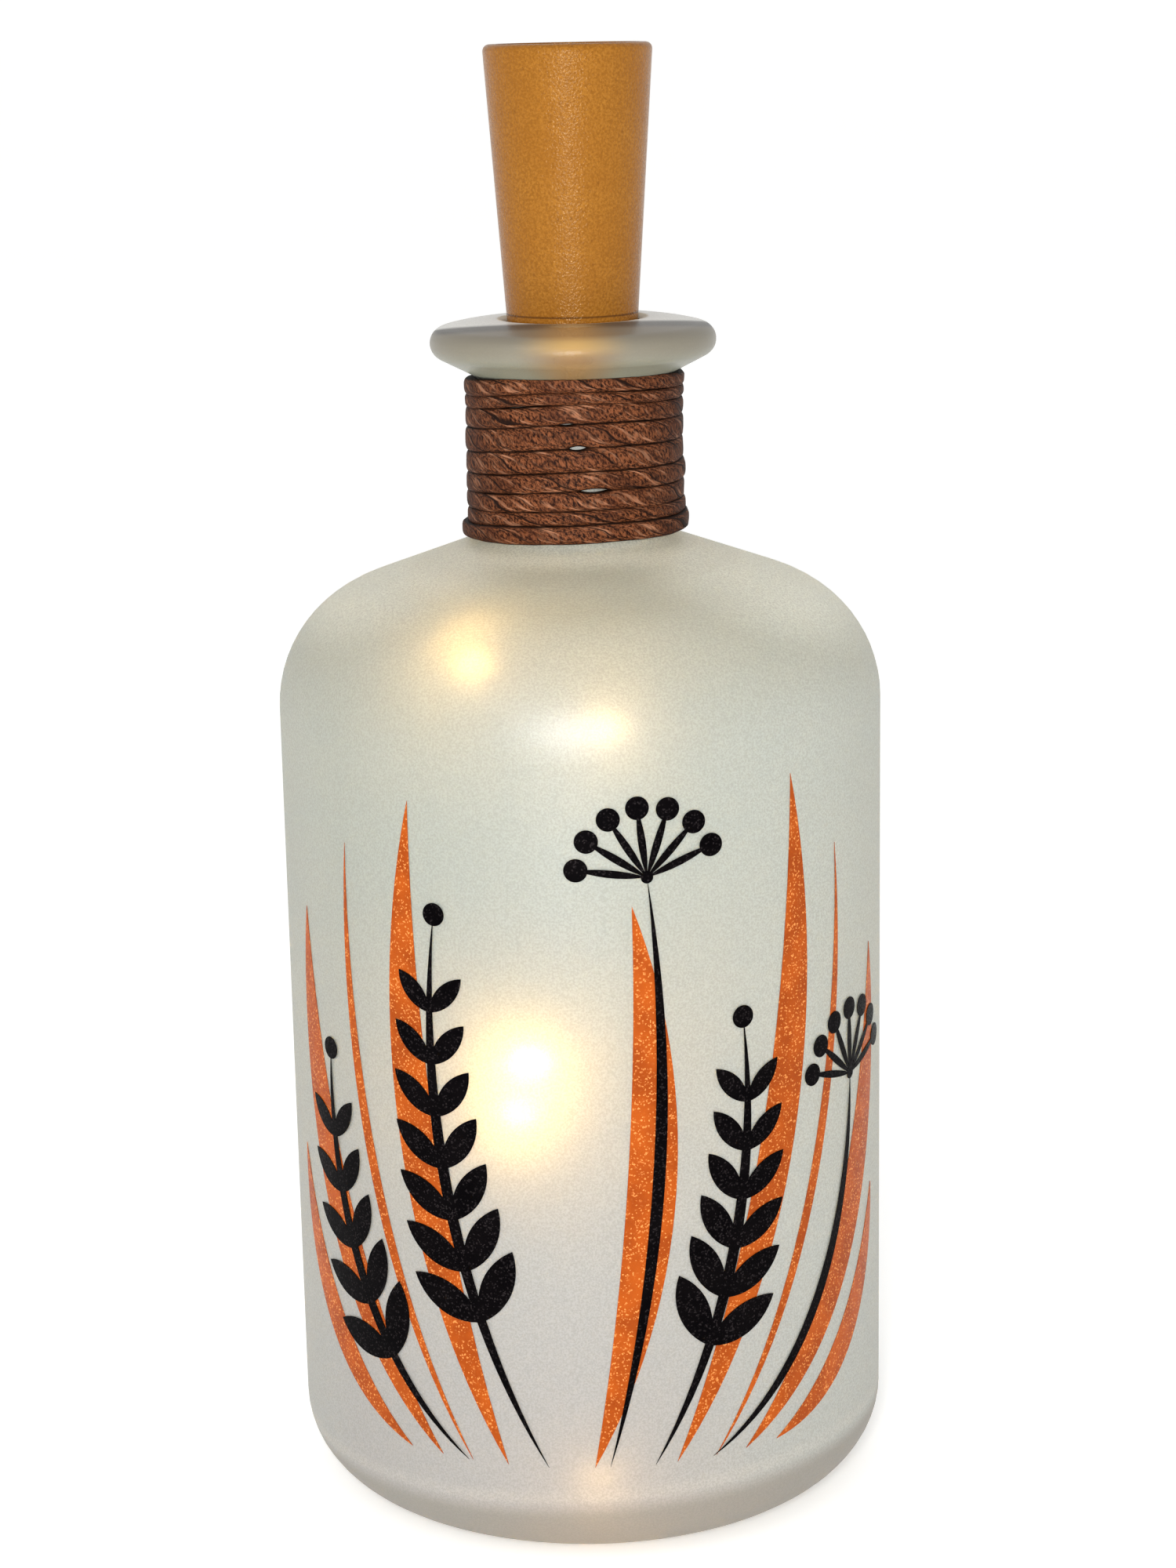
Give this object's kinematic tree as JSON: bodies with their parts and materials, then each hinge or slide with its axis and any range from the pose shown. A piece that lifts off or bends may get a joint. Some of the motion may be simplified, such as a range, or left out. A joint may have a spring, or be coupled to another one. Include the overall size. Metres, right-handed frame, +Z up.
{
  "type": "cork bottle light",
  "caption": "Frosted glass bottle with a cord-wound neck and a vinyl print, lit by a string of LEDs hanging from a cork-shaped stopper with a battery compartment and slide switch.",
  "frame": {"origin": "middle of the bottle's base, on the surface that it stands on", "axes": "+Z up the bottle's axis, -Y towards the printed front, +X to the right seen from the front"},
  "size_m": [0.081, 0.0812, 0.1952],
  "materials": {
    "frosted_glass": "frosted, satin",
    "paper_cord": "matte, twisted",
    "orange_vinyl": "satin with fine glitter",
    "black_vinyl": "satin",
    "cork_plastic": "satin paint with fine speckle",
    "steel": "nickel plated",
    "black_plastic": "moulded",
    "tinned_metal": "tinned",
    "board": "lacquered",
    "resistor": "matte",
    "cell_can": "polished nickel",
    "red_insulation": "satin",
    "black_insulation": "satin",
    "grommet_rubber": "matte",
    "copper_wire": "enamelled copper",
    "clear_resin": "clear resin",
    "lit_chip": "phosphor"
  },
  "bodies": {
    "bottle": {"bottle_glass": "frosted_glass", "neck_cord": "paper_cord", "print_orange": "orange_vinyl", "print_black": "black_vinyl"},
    "stopper": {"cork_shell": "cork_plastic", "switch_body": "black_plastic", "switch_terminals": "tinned_metal", "circuit_board": "board", "resistor": "resistor", "positive_contact": "steel", "battery_cell_1": "cell_can", "battery_cell_2": "cell_can", "battery_cell_3": "cell_can", "battery_holder": "black_plastic", "negative_contact": "steel", "negative_spring": "steel", "positive_lead": "red_insulation", "negative_lead": "black_insulation", "solder_joint": "tinned_metal", "splice_sleeve": "black_insulation", "wire_grommet": "grommet_rubber", "led_wire": "copper_wire", "led_drops": "clear_resin", "led_chips": "lit_chip"},
    "lid": {"battery_lid": "cork_plastic", "lid_screw": "steel"},
    "knob": {"switch_knob": "black_plastic"}
  },
  "joints": [
    {"name": "stopper_lift", "type": "slide", "parent": "bottle", "child": "stopper", "axis": [0, 0, 1], "range_m": [0, 0.165], "deforming": ["led_wire", "led_drops", "led_chips"]},
    {"name": "lid_lift", "type": "slide", "parent": "stopper", "child": "lid", "axis": [0, 0, 1], "range_m": [0, 0.03]},
    {"name": "switch_slide", "type": "slide", "parent": "stopper", "child": "knob", "axis": [1, 0, 0], "range_m": [-0.0022, 0]}
  ]
}
